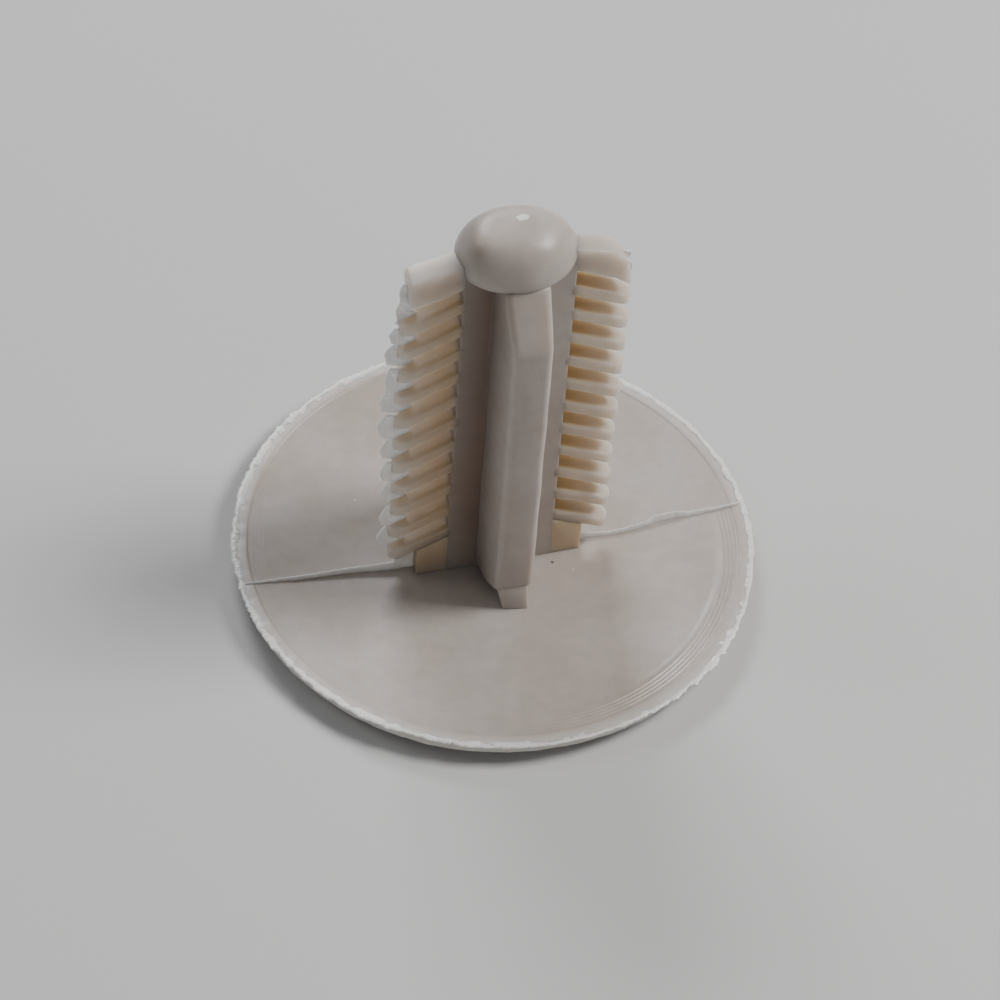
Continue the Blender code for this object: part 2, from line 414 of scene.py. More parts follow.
def hump(angles, azimuth, spread):
    """Soft peak of height 1 on the way round the rim; azimuth and spread are in degrees."""
    return np.exp(-((np.degrees(angles) - azimuth) / spread) ** 2)


# ---------------------------------------------------------------- materials

def node(tree, kind, **settings):
    """Add a shader node and set its sockets or properties."""
    made = tree.nodes.new(kind)
    for key, value in settings.items():
        if key in made.inputs:
            made.inputs[key].default_value = value
        else:
            setattr(made, key, value)
    return made


def feed(tree, socket, value):
    """Give a socket its value: another socket or a plain one."""
    if isinstance(value, bpy.types.NodeSocket):
        tree.links.new(value, socket)
    else:
        socket.default_value = value


def mix_colour(tree, factor, a, b, blend="MIX"):
    """Mix two colours; each may be a socket or a plain colour."""
    made = node(tree, "ShaderNodeMix", data_type="RGBA", blend_type=blend)
    for socket, value in ((made.inputs[0], factor), (made.inputs[6], a), (made.inputs[7], b)):
        feed(tree, socket, value)
    return made.outputs[2]


def multiply(tree, a, b):
    """Product of two values."""
    made = node(tree, "ShaderNodeMath", operation="MULTIPLY")
    feed(tree, made.inputs[0], a)
    feed(tree, made.inputs[1], b)
    return made.outputs[0]


def remap(tree, source, low, high, to_low=0.0, to_high=1.0):
    """Map a value from one range to another, held within it."""
    made = node(tree, "ShaderNodeMapRange")
    made.inputs["From Min"].default_value = low
    made.inputs["From Max"].default_value = high
    made.inputs["To Min"].default_value = to_low
    made.inputs["To Max"].default_value = to_high
    tree.links.new(source, made.inputs["Value"])
    return made.outputs["Result"]


def grey(tree, value):
    """Turn a value into a grey colour socket."""
    made = node(tree, "ShaderNodeCombineColor")
    for channel in range(3):
        tree.links.new(value, made.inputs[channel])
    return made.outputs[0]


def cloud(tree, place, scale, detail, roughness=0.5):
    """Noise over the object's own space."""
    made = node(tree, "ShaderNodeTexNoise", Scale=scale, Detail=detail, Roughness=roughness)
    tree.links.new(place, made.inputs["Vector"])
    return made.outputs["Fac"]


def painted(tree, name):
    """A float attribute of the mesh."""
    return node(tree, "ShaderNodeAttribute", attribute_name=name).outputs["Fac"]


def cloudy_tone(tree, place, pale, warm):
    """Tone that drifts between two colours, with a fine dapple over it."""
    drift = remap(tree, cloud(tree, place, CLOUD_SCALE, 4.0, 0.55), 0.35, 0.68)
    tone = mix_colour(tree, drift, pale, warm)
    dapple = remap(tree, cloud(tree, place, MOTTLE_SCALE, 3.0, 0.6), 0.3, 0.75, 0.93, 1.04)
    return mix_colour(tree, 1.0, tone, grey(tree, dapple), "MULTIPLY")


def few_flecks(tree, place):
    """How strongly the few pale flecks show."""
    speck = node(tree, "ShaderNodeTexVoronoi", Scale=SPECK_SCALE)
    tree.links.new(place, speck.inputs["Vector"])
    dot = remap(tree, speck.outputs["Distance"], 0.03, 0.09, 1.0, 0.0)
    here = remap(tree, cloud(tree, place, RARE_SCALE, 1.0), 0.62, 0.66)
    return multiply(tree, multiply(tree, dot, here), FLECK_STRENGTH)


def moulded_surface(tree, place, shader, roughness):
    """Uneven gloss, a fine grain and shallow flow ripples."""
    smear = cloud(tree, place, SMEAR_SCALE, 5.0, 0.65)
    gloss = remap(tree, smear, 0.3, 0.7, roughness - 0.07, roughness + 0.1)
    tree.links.new(gloss, shader.inputs["Roughness"])
    fine = node(tree, "ShaderNodeBump", Strength=0.25, Distance=0.02 * MM)
    tree.links.new(cloud(tree, place, GRAIN_SCALE, 4.0, 0.6), fine.inputs["Height"])
    ripple = node(tree, "ShaderNodeBump", Strength=0.35, Distance=0.06 * MM)
    tree.links.new(smear, ripple.inputs["Height"])
    tree.links.new(fine.outputs["Normal"], ripple.inputs["Normal"])
    tree.links.new(ripple.outputs["Normal"], shader.inputs["Normal"])


def nylon(name, roughness, scatter, painted_shading=None, thin=False, reach=NYLON_REACH, spread=NYLON_SPREAD,
          pale=PALE, warm=WARM):
    """Natural nylon: milky, slightly see-through, with cloudy tone, flow marks and tiny specks.

    The optional colour of painted light and shade comes in by the mesh's attribute of painted
    light and shade, and thin whitens the plastic by its "thin" attribute, partly as thin plastic
    being paler and partly as painted light shining through it. reach is how far light travels
    inside, in millimetres, and spread how that differs between red, green and blue.
    """
    material = bpy.data.materials.new(name)
    material.use_nodes = True
    tree = material.node_tree
    shader = tree.nodes["Principled BSDF"]
    place = node(tree, "ShaderNodeTexCoord").outputs["Object"]
    tone = cloudy_tone(tree, place, pale, warm)
    if painted_shading:
        # Painted light and shade: the attribute mixes in a darker or warmer colour where shade falls
        # or light passes through.
        tone = mix_colour(tree, painted(tree, "light_and_shade"), tone, painted_shading)
    if thin:
        # Whiter where thin: partly the paler thin plastic, partly painted light shining through it and
        # falling on lit ends.
        tone = mix_colour(tree, painted(tree, "thin"), tone, THIN_AND_LIT_WHITE)
    tone = mix_colour(tree, few_flecks(tree, place), tone, FLECK_WHITE)
    tree.links.new(tone, shader.inputs["Base Color"])
    moulded_surface(tree, place, shader, roughness)
    shader.inputs["Subsurface Weight"].default_value = scatter
    shader.inputs["Subsurface Radius"].default_value = spread
    shader.inputs["Subsurface Scale"].default_value = reach * MM
    shader.inputs["IOR"].default_value = NYLON_IOR
    shader.inputs["Specular IOR Level"].default_value = NYLON_SPECULAR
    return material


# ---------------------------------------------------------------- head

def dish(radius):
    """Height of the dished seat at a distance from the axis."""
    share = min(radius / LAND_INNER, 1.0)
    return DISH_CENTRE + (RIM_TOP - LAND_STEP - DISH_CENTRE) * share ** 2


def groove(radius):
    """Height of the fine turning marks at a distance from the axis."""
    if not GROOVE_INNER < radius < LAND_INNER - GROOVE_END_GAP:
        return 0.0
    return GROOVE_DEPTH * math.sin(2.0 * math.pi * (radius - GROOVE_INNER) / GROOVE_PITCH)


def head_profile():
    """Radius and height of the head's rings, from the middle of the seat round to the base."""
    seat = list(np.linspace(0.05 * MM, GROOVE_INNER, 30))
    seat += list(np.arange(GROOVE_INNER, LAND_INNER - 0.02 * MM, GROOVE_PITCH / 6.0))
    rings = [(r, dish(r)) for r in seat]
    rings.append((LAND_INNER, dish(LAND_INNER)))
    rings.append((LAND_INNER + 0.03 * MM, RIM_TOP - 0.008 * MM))
    for share in (0.15, 0.4, 0.7, 0.9):
        rings.append((LAND_INNER + share * (RIM_RADIUS - LAND_INNER), RIM_TOP))
    bottom = RIM_TOP - RIM_THICKNESS
    inside = RIM_RADIUS - RIM_CORNER
    turns = [0.5 * math.pi * step / (RIM_CORNER_STEPS - 1) for step in range(RIM_CORNER_STEPS)]
    for turn in turns:
        rings.append((
            inside + RIM_CORNER * math.sin(turn), RIM_TOP - RIM_CORNER + RIM_CORNER * math.cos(turn)
        ))
    for turn in turns:
        rings.append((
            inside + RIM_CORNER * math.cos(turn), bottom + RIM_CORNER - RIM_CORNER * math.sin(turn)
        ))
    for share in np.linspace(0.06, 1.0, 10):
        radius = inside * (1.0 - share) + UNDERSIDE_FLAT * share
        rings.append((radius, bottom * (1.0 - share) ** UNDERSIDE_CURVE))
    for radius in UNDERSIDE_RADII:
        rings.append((radius * MM, 0.0))
    return rings


def build_head(material):
    """The dished head, with turning marks and a slightly uneven edge."""
    angles = np.linspace(0.0, 2.0 * math.pi, HEAD_SEGMENTS, endpoint=False)
    uneven = wave(angles, EDGE_WAVES, 3) * MM
    sway = wave(angles, SWAY_WAVES, 5) * MM
    streaks = (value_noise(angles, STREAK_CELLS, 31) - 0.5) * STREAK_HEIGHT
    turned = GROOVE_ALL_ROUND + hump(angles, GROOVE_AZIMUTH, GROOVE_SPREAD)
    rings = []
    for radius, height in head_profile():
        near_edge = share_between(radius, LAND_INNER, RIM_RADIUS)
        reach = radius + uneven * near_edge
        lift = streaks * near_edge
        if height > SWAY_ABOVE:
            lift = sway * (radius / RIM_RADIUS) ** 2 + lift
        if height > RIM_TOP - RIM_THICKNESS:
            lift = lift + turned * groove(radius)
        rings.append(np.stack([
            reach * np.cos(angles), reach * np.sin(angles), height + lift
        ], axis=-1))
    mesh = loft("head", rings)
    smooth(mesh, 50.0)
    # Whiter towards the thin rim: partly the paler thin plastic, partly painted light shining through
    # it.
    place = coordinates(mesh)
    edge = share_between(np.hypot(place[:, 0], place[:, 1]), LAND_INNER, RIM_RADIUS)
    set_attribute(mesh, "thin", EDGE_THIN * edge)
    head = link("head", mesh, material)
    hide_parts("head_disc")


def ragged_reach(angles):
    """How far the rim's flash stands out at each angle: more at the left, most at the right front."""
    reach = np.zeros_like(angles)
    for cells, seed, share in FLASH_NOISE:
        reach += share * value_noise(angles, cells, seed)
    chips = np.floor(value_noise(angles, CHIP_CELLS, 14) * CHIP_STEPS) / CHIP_STEPS
    reach += CHIP_SHARE * chips
    left = 0.5 + 0.5 * np.cos(angles - math.radians(FLASH_LEFT_AZIMUTH))
    right = hump(angles, FLASH_RIGHT_AZIMUTH, FLASH_RIGHT_SPREAD)
    strength = FLASH_LEAST + FLASH_MORE_LEFT * left + FLASH_MORE_RIGHT * right
    return (reach * strength + FLASH_BASE) * MM


def build_rim_flash(material):
    """Thin ragged flash that runs round the edge of the head."""
    angles = np.linspace(0.0, 2.0 * math.pi, FLASH_SEGMENTS, endpoint=False)
    reach = ragged_reach(angles)
    lump = (value_noise(angles, 320, 21) - 0.5) * 0.05 * MM
    drop = (0.05 + 0.12 * value_noise(angles, 120, 22)) * MM
    inner = RIM_RADIUS - (0.10 + 0.22 * value_noise(angles, 200, 23)) * MM
    top = RIM_TOP + 0.012 * MM + np.abs(lump) * 0.5
    outline = (
        (inner, np.full_like(angles, RIM_TOP - 0.03 * MM)),
        (inner + 0.05 * MM, top),
        (RIM_RADIUS + 0.3 * reach, top + lump * 0.5),
        (RIM_RADIUS + 0.8 * reach, top - 0.02 * MM + lump * 0.4),
        (RIM_RADIUS + reach, top - 0.05 * MM + lump * 0.3),
        (RIM_RADIUS + 0.85 * reach, top - 0.05 * MM - 0.6 * drop),
        (RIM_RADIUS + 0.25 * reach, top - 0.06 * MM - drop),
        (np.full_like(angles, RIM_RADIUS - 0.06 * MM), top - 0.16 * MM - drop),
    )
    rings = [
        [(r[i] * math.cos(turn), r[i] * math.sin(turn), z[i]) for r, z in outline]
        for i, turn in enumerate(angles)
    ]
    rings.append(rings[0])
    mesh = loft("rim_flash", rings, capped=False)
    roughen(mesh, 0.13 * MM, 0.03 * MM, 2.0)
    smooth(mesh, 60.0)
    # Whitened as thin flash: partly its paler colour, partly painted light shining through it.
    set_attribute(mesh, "thin", FLASH_THIN)
    link("rim_flash", mesh, material)


def fin_section(x, shift, height, lean):
    """One cross-section of a fin; everything is in millimetres."""
    crest = height * (1.0 + 0.25 * noise.noise(Vector((x * 5.3, 9.0, 2.0))))
    side = shift + 0.03 * noise.noise(Vector((x * 3.1, 4.0, 1.0)))
    ground = dish(abs(x) * MM) / MM
    if abs(x) > LAND_INNER / MM:
        ground = RIM_TOP / MM
    base = ground - FIN_SINK
    middle = ground + 0.5 * crest
    peak = ground + crest
    return [
        (x, side - FIN_FOOT, base),
        (x, side + FIN_FOOT, base),
        (x, side + 0.5 * lean + FIN_SHOULDER, middle),
        (x, side + lean + FIN_EDGE, peak),
        (x, side + lean - FIN_EDGE, peak),
        (x, side + 0.5 * lean - FIN_SHOULDER, middle),
    ]


def build_fin(name, path, material):
    """Thin wavering fin of flash on the parting line.

    path holds (distance along X, sideways shift, height, lean) in millimetres.
    """
    stations = np.asarray(path, float)
    distance = np.linspace(stations[0, 0], stations[-1, 0], FIN_STATIONS)
    columns = [np.interp(distance, stations[:, 0], stations[:, i]) for i in (1, 2, 3)]
    sections = [fin_section(*station) for station in zip(distance, *columns)]
    mesh = loft(name, np.array(sections) * MM)
    smooth(mesh, 60.0)
    # Whitened as thin flash: partly its paler colour, partly painted light shining through it.
    set_attribute(mesh, "thin", FIN_THIN)
    link(name, mesh, material)


def build_fins(material):
    """The fins of flash across the seat, one on each side of the shank."""
    build_fin("left_fin", (
        (-12.2, -0.22, 0.05, 0.0), (-11.0, -0.2, 0.12, 0.0), (-9.5, -0.24, 0.2, 0.02),
        (-8.0, -0.2, 0.28, 0.0), (-7.0, -0.2, 0.34, 0.0), (-6.0, -0.26, 0.4, 0.0),
        (-5.4, -0.3, 0.45, 0.0), (-4.7, -0.3, 0.5, 0.0),
    ), material)
    build_fin("right_fin", (
        (3.95, -0.3, 0.4, 0.0), (4.5, -0.24, 0.26, 0.0), (5.6, -0.36, 0.2, -0.02),
        (6.6, -0.33, 0.22, -0.02), (7.6, -0.22, 0.26, -0.03), (7.9, -0.14, 0.34, 0.06),
        (9.0, -0.12, 0.32, 0.06), (9.6, -0.18, 0.18, 0.03), (11.0, -0.18, 0.12, 0.0),
        (12.3, -0.14, 0.07, 0.0),
    ), material)


def build_inclusion(material):
    """One dark fleck caught in the plastic of the seat."""
    height = dish(math.hypot(DIRT_X, DIRT_Y) * MM) / MM
    rings = []
    for level, share in DIRT_LEVELS:
        ring = []
        for step in range(DIRT_AROUND):
            turn = 2.0 * math.pi * step / DIRT_AROUND
            radius = DIRT_RADIUS * share * (1.0 + 0.3 * math.sin(3 * turn + 1.0))
            ring.append((
                DIRT_X + radius * math.cos(turn), DIRT_Y + radius * math.sin(turn), height + level
            ))
        rings.append(ring)
    mesh = loft("inclusion", np.array(rings) * MM)
    smooth(mesh)
    link("inclusion", mesh, material)


# ---------------------------------------------------------------- shank

def spine_quarter(side_y, face):
    """Outline of one quarter of the cross, from inside a blade to the end of the spine."""
    inside = BLADE_HALF + 0.1 * MM
    points = [(inside - 0.2 * MM, face + side_y * 0.9 * MM), (inside, face + side_y * FILLET)]
    for step in range(FILLET_STEPS):
        turn = 0.5 * math.pi * step / (FILLET_STEPS - 1)
        out = FILLET * (1.0 - math.sin(turn))
        along = FILLET * (1.0 - math.cos(turn))
        points.append((BLADE_HALF + along, face + side_y * out))
    points.append((SPINE_HALF - 0.05 * MM, face))
    points.append((SPINE_HALF, face - side_y * 0.05 * MM))
    return points


def build_spine(material):
    """Core of the cross, with hollow fillets where the blades leave it."""
    back = spine_quarter(1.0, ARM_CENTRE + ARM_HALF)
    front = spine_quarter(-1.0, ARM_CENTRE - ARM_HALF)
    outline = back + front[::-1]
    outline += [(-x, y) for x, y in front]
    outline += [(-x, y) for x, y in reversed(back)]
    heights = [SPINE_BOTTOM] + list(np.linspace(0.8 * MM, SHANK_TOP, 24))
    rings = [[(x, y, z) for x, y in outline] for z in heights]
    mesh = loft("spine", rings)
    smooth(mesh, 35.0)
    # Painted shadow of the blades: brown beside them on the left, fading outwards and towards the
    # bottom, faint on the right.
    place = coordinates(mesh)
    out = share_between(np.abs(place[:, 0]), BLADE_HALF, SPINE_HALF)
    painted_shading = np.where(place[:, 0] < 0.0, 1.0 - 0.45 * out, 0.2)
    painted_shading *= 0.45 + 0.55 * share_between(place[:, 2], 1.0 * MM, 4.0 * MM)
    set_attribute(mesh, "light_and_shade", painted_shading)
    spine = link("spine", mesh, material)
    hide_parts("shank_spine")


def draft_blade(mesh):
    """Thicken a blade towards its root, and thin its lower outer corner on the right."""
    for vertex in mesh.vertices:
        depth = abs(vertex.co.y)
        inward = (BLADE_REACH - depth) / (BLADE_REACH - ARM_HALF)
        vertex.co.x *= BLADE_EDGE_SCALE + BLADE_DRAFT * max(0.0, inward)
        limit = CORNER_HALF + CORNER_RISE * max(0.0, vertex.co.z - CORNER_HEIGHT)
        limit += CORNER_SWELL * max(0.0, CORNER_DEPTH - depth)
        vertex.co.x = min(vertex.co.x, limit)


def shade_blade(mesh):
    """Painted shade: brownish along the middle of a blade's outer face, and on its left side near the
    root, which faces away from the light.
    """
    place = coordinates(mesh)
    facing = facing_y(mesh)
    middle = 0.32 * np.clip(1.2 - np.abs(place[:, 0]) / (0.75 * MM), 0.0, 1.0) * facing
    inward = share_between(np.abs(place[:, 1]), BLADE_REACH, ARM_HALF)
    left = 0.38 * inward * (place[:, 0] < 0.0) * (1.0 - facing)
    set_attribute(mesh, "light_and_shade", middle + left)


def build_blade(name, side, material):
    """Plain arm with soft edges, a curved lower edge and a lead-in slope under the tip."""
    outline = [(side * reach, height) for reach, height in (BLADE_ROOT,) + BLADE_UNDERSIDE]
    outline += [
        (side * BLADE_REACH, BLADE_TOP),
        (side * BLADE_LEAD, SHANK_TOP + 0.1 * MM),
        (side * BLADE_ROOT[0], SHANK_TOP + 0.1 * MM),
    ]
    left = [(-BLADE_HALF, y, z) for y, z in outline]
    right = [(BLADE_HALF, y, z) for y, z in outline]
    blade = link(name, prism(name, left, right), material)
    round_edges(blade, BLADE_ROUNDING, 6)
    cut_along_z(blade.data, BLADE_SLICES)
    draft_blade(blade.data)
    roughen(blade.data, 2.2 * MM, 0.03 * MM, 3.0 + side)
    smooth(blade.data, 35.0)
    shade_blade(blade.data)
    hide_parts(name)


def build_foot(name, side, material):
    """Small strut between the head and a blade."""
    bottom = dish(3.9 * MM) - 0.05 * MM
    lower = [
        (-0.5 * MM, side * 3.0 * MM, bottom), (CORNER_HALF, side * 3.0 * MM, bottom),
        (CORNER_HALF, side * 4.02 * MM, bottom), (-0.5 * MM, side * 3.82 * MM, bottom),
    ]
    upper = [
        (-0.8 * MM, side * 2.9 * MM, 1.8 * MM), (CORNER_HALF, side * 2.9 * MM, 1.8 * MM),
        (CORNER_HALF, side * 3.7 * MM, 2.1 * MM), (-0.8 * MM, side * 3.7 * MM, 2.1 * MM),
    ]
    foot = link(name, prism(name, lower, upper), material)
    round_edges(foot, 0.07 * MM, 3)
    smooth(foot.data, 35.0)
    set_attribute(foot.data, "light_and_shade", 0.0)
    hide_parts(name)


# ---------------------------------------------------------------- barbs and caps

def barb_stations(start, centre):
    """Places along a barb, each with its width as a share of the full one."""
    stations = [(x, 1.0) for x in np.linspace(start, centre, 9)[:-1]]
    for step in range(BARB_END_STEPS):
        turn = 0.5 * math.pi * step / BARB_END_STEPS
        stations.append((centre + ARM_HALF * math.sin(turn), math.cos(turn)))
    stations.append((centre + ARM_HALF * 0.998, 0.06))
    return stations


def barb_section(x, half_width, half_height, middle):
    """Cross-section of a barb: a rectangle with soft corners."""
    ring = []
    for step in range(BARB_AROUND):
        turn = 2.0 * math.pi * (step + 0.5) / BARB_AROUND
        c, s = math.cos(turn), math.sin(turn)
        y = ARM_CENTRE + half_width * math.copysign(abs(c) ** BARB_SQUARENESS, c)
        z = middle + half_height * math.copysign(abs(s) ** BARB_SQUARENESS, s)
        ring.append((x, y, z))
    return ring


def shade_barb(mesh, side, reach):
    """Painted shade, warm near the root between the barbs; painted light, whitish near the end."""
    out = (np.abs(coordinates(mesh)[:, 0]) - SPINE_HALF) / (reach - SPINE_HALF)
    front = facing_y(mesh)
    # Painted shade: strong on the tops and undersides, weaker on the front faces, much weaker there on
    # the right arm.
    depth = 1.0 - 0.75 * front ** 2 if side > 0 else 0.72 - 0.14 * front ** 2
    set_attribute(mesh, "light_and_shade", np.clip(1.15 - 1.05 * out, 0.0, 1.0) * depth)
    # Painted light: the outer ends whitened where light falls on them.
    set_attribute(mesh, "thin", np.clip(1.4 * out - 0.75, 0.0, 1.0) * (0.3 if side < 0 else 0.15))


def build_barb(side_name, side, level, material):
    """Sloping tongue with a half-round end, sunk a little into the spine."""
    node_name = f"{side_name}_barb_{level:02d}"
    low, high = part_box(node_name)
    reach = (high.x if side > 0 else -low.x) + RNG.uniform(-0.04, 0.04) * MM
    tilt = SLOPE * (1.0 + RNG.uniform(-0.03, 0.03))
    thickness = BARB_THICKNESS * RNG.uniform(0.97, 1.07)
    start = SPINE_HALF - ROOT_SINK
    rings = []
    for x, share in barb_stations(start, reach - ARM_HALF):
        edge = min(1.0, 0.6 + 2.2 * share)
        taper = 1.0 - 0.06 * (x - start) / (reach - start)
        middle = high.z - 0.5 * BARB_THICKNESS - tilt * (x - SPINE_HALF)
        rings.append(barb_section(side * x, ARM_HALF * share, 0.5 * thickness * edge * taper, middle))
    mesh = loft(node_name, rings)
    roughen(mesh, 0.5 * MM, 0.03 * MM, level + 20.0 * side)
    smooth(mesh, 50.0)
    shade_barb(mesh, side, reach)
    bends = node_name in frame["bodies"]
    barb = link(node_name + "_skin", mesh, material, None if bends else "anchor")
    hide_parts(node_name)
    if bends:
        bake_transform(barb)


def build_slab(name, outline, half_width, rounding, material):
    """Body of a barbed arm whose outline lies in the XZ plane, with soft edges."""
    front = [(x, ARM_CENTRE - half_width, z) for x, z in outline]
    back = [(x, ARM_CENTRE + half_width, z) for x, z in outline]
    slab = link(name, prism(name, front, back), material)
    round_edges(slab, rounding, 4)
    roughen(slab.data, 0.8 * MM, 0.02 * MM, len(name))
    smooth(slab.data, 35.0)
    return slab


def build_caps(material):
    """Blocks at the top of the barbed arms; the outlines are (X, Z) in millimetres."""
    outlines = (
        ("right_cap", 1.0, (
            (2.4, 20.1), (4.4, 19.22), (5.2, 18.6), (5.19, 18.95), (5.06, 19.9), (4.98, 20.2),
            (4.36, 20.85), (3.56, 21.13), (2.4, 21.38),
        )),
        ("left_cap", -1.0, (
            (2.4, 20.0), (3.64, 19.42), (5.02, 19.1), (5.12, 20.55), (5.02, 20.78), (4.5, 20.93),
            (3.71, 21.12), (2.4, 21.38),
        )),
    )
    for name, side, points in outlines:
        outline = [(side * x * MM, z * MM) for x, z in points]
        slab = build_slab(name + "_skin", outline, ARM_HALF, CAP_ROUNDING, material)
        place = coordinates(slab.data)
        # Painted shade on the lower inner part of each cap, and painted light whitening its outer end.
        low = share_between(place[:, 2], 20.4 * MM, 19.4 * MM)
        out = share_between(np.abs(place[:, 0]), 3.0 * MM, 5.0 * MM)
        set_attribute(slab.data, "light_and_shade", 0.6 * low * (1.0 - out))
        set_attribute(slab.data, "thin", 0.2 * out)
        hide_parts(name)


def build_gusset(name, side, material):
    """Wedge under the lowest barb."""
    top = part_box(name)[1].z
    slope_top = top - SLOPE * (GUSSET_REACH - GUSSET_SLOPE_START)
    base = dish(3.0 * MM) - 0.08 * MM
    gusset = build_slab(name + "_skin", [
        (side * ARM_INSIDE, base), (side * GUSSET_REACH, base), (side * GUSSET_REACH, slope_top),
        (side * GUSSET_ROOT, top), (side * ARM_INSIDE, top),
    ], ARM_HALF - 0.01 * MM, 0.05 * MM, material)
    # Painted warm glow of light through the gusset, strongest at its top under the lowest barb.
    height = share_between(coordinates(gusset.data)[:, 2], 1.6 * MM, 2.6 * MM)
    set_attribute(gusset.data, "light_and_shade", 0.65 + 0.35 * height)
    set_attribute(gusset.data, "thin", 0.0)
    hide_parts(name)


# ---------------------------------------------------------------- flash along the arms

def smooth_outline(points, steps):
    """Closed soft curve through a few points."""
    knots = np.asarray(points, float)
    count = len(knots)
    curve = []
    for index in range(count):
        a, b, c, d = (knots[(index + shift) % count] for shift in (-1, 0, 1, 2))
        for step in range(steps):
            t = step / steps
            curve.append(0.5 * (
                2.0 * b + (c - a) * t + (2.0 * a - 5.0 * b + 4.0 * c - d) * t ** 2
                + (3.0 * b - a - 3.0 * c + d) * t ** 3
            ))
    return np.array(curve)


def build_plate(name, points, material, body="anchor", skin=PLATE_SKIN, shift=0.0):
    """Thin plate of flash on the parting line, with a rounded bead along its edge.

    points are (X, Z) in millimetres; skin is the half thickness of the middle and shift is a
    sideways offset, in millimetres too.
    """
    outline = smooth_outline(points, 6)
    centre = outline.mean(axis=0)
    front = (
        (0.04, skin), (0.5, skin), (0.74, 0.6 * (skin + PLATE_BEAD)), (0.86, PLATE_BEAD),
        (0.96, 0.75 * PLATE_BEAD), (1.0, 0.25 * PLATE_BEAD),
    )
    layers = [(share, -half) for share, half in front] + list(reversed(front))
    rings = []
    for share, half in layers:
        flat = centre + (outline - centre) * share
        rings.append([(x * MM, LOBE_PLANE + (shift + half) * MM, z * MM) for x, z in flat])
    mesh = loft(name, rings)
    roughen(mesh, 0.25 * MM, 0.02 * MM, len(name) + points[0][1])
    smooth(mesh, 60.0)
    place = coordinates(mesh) / MM
    away = np.hypot(place[:, 0] - centre[0], place[:, 2] - centre[1])
    # Whiter towards the edge: partly thin plastic, partly a painted highlight along the bright edge.
    set_attribute(mesh, "thin", np.clip(0.35 + 0.9 * away / away.max(), 0.0, 1.0))
    link(name, mesh, material, body)


def lobe_outline(bulge, top, bottom):
    """Outline of one lobe between two notches, from a point inside the arm round to another."""
    return (
        top,
        (0.45 * top[0] + 0.55 * bulge[0] - 0.02, 0.45 * top[1] + 0.55 * bulge[1] + 0.1),
        bulge,
        (bulge[0] + 0.07, 0.55 * bulge[1] + 0.45 * bottom[1]),
        (0.55 * bulge[0] + 0.45 * bottom[0], bottom[1] + 0.14),
        (-5.0, bottom[1] - 0.04),
        (-4.62, bottom[1] + 0.15),
        (-4.6, 0.5 * (top[1] + bottom[1])),
        (-4.9, top[1] - 0.3),
    )


def build_lobes(material):
    """Row of flash lobes along the left arm: one beside the cap, then one beside each barb.

    notches and bulges are (X, Z) in millimetres, from the cap down to the lowest barb.
    """
    notches = (
        (-5.22, 20.35), (-5.33, 18.96), (-5.44, 17.55), (-5.40, 16.44), (-5.62, 14.95),
        (-5.64, 13.26), (-5.70, 11.8), (-5.46, 10.13), (-5.56, 8.57), (-5.36, 7.1),
        (-5.34, 5.55), (-5.34, 3.98), (-5.28, 2.3),
    )
    bulges = (
        (-5.45, 19.8), (-5.52, 18.45), (-5.80, 17.14), (-5.94, 15.83), (-5.91, 14.18),
        (-6.05, 12.57), (-6.14, 11.2), (-5.93, 9.27), (-5.92, 7.9), (-5.87, 6.19),
        (-5.86, 4.73), (-5.91, 3.18),
    )
    for index, bulge in enumerate(bulges):
        points = lobe_outline(bulge, notches[index], notches[index + 1])
        barb = f"left_barb_{index:02d}"
        body = barb if barb in frame["bodies"] else "anchor"
        shift = LOBE_SHIFT if index % 2 else -LOBE_SHIFT
        build_plate(f"left_lobe_{index + 1:02d}", points, material, body, shift=shift)


def build_webs(material):
    """Flash beside the left gusset and on the end of the right cap, in millimetres."""
    build_plate("left_gusset_web", (
        (-3.9, 0.62), (-4.4, 0.64), (-4.95, 0.66), (-5.0, 1.1), (-4.9, 1.9), (-4.88, 2.25),
        (-4.4, 2.4), (-3.95, 2.5), (-3.9, 1.6),
    ), material, skin=0.04)
    build_plate("right_cap_nib", (
        (4.95, 20.35), (5.2, 20.28), (5.24, 20.1), (5.1, 19.9), (4.95, 20.0),
    ), material)
    build_plate("right_cap_lip", (
        (4.9, 19.85), (5.2, 19.7), (5.38, 19.3), (5.24, 18.9), (4.95, 18.8), (4.7, 19.3),
    ), material)


# ---------------------------------------------------------------- tip

def direction(azimuth, elevation):
    """Unit vector at angles in radians: azimuth from +X towards +Y, elevation from level."""
    flat = math.cos(elevation)
    return Vector((flat * math.cos(azimuth), flat * math.sin(azimuth), math.sin(elevation)))


def tip_planes():
    """Planes that the tip is trimmed to, as (normal, distance from the tip's centre)."""
    planes = [(Vector((0.0, 0.0, -1.0)), TIP_FLOOR), (Vector((0.0, 0.0, 1.0)), TIP_RISE)]
    cuts = [
        (30.0 * step, elevation, distance)
        for elevation, distance in TIP_GIRDLES for step in range(12)
    ]
    for azimuth, elevation, distance in cuts + list(TIP_FACETS):
        normal = direction(math.radians(azimuth), math.radians(elevation))
        planes.append((normal, TIP_SCALE * distance * MM))
    return planes


def soft_reach(way, planes):
    """Distance from the tip's centre to its surface, with the planes' ridges rounded off."""
    total = 0.0
    for normal, distance in planes:
        facing = normal.dot(way)
        if facing > 0.01:
            total += (facing / distance * MM) ** TIP_SOFTNESS
    return MM * total ** (-1.0 / TIP_SOFTNESS)


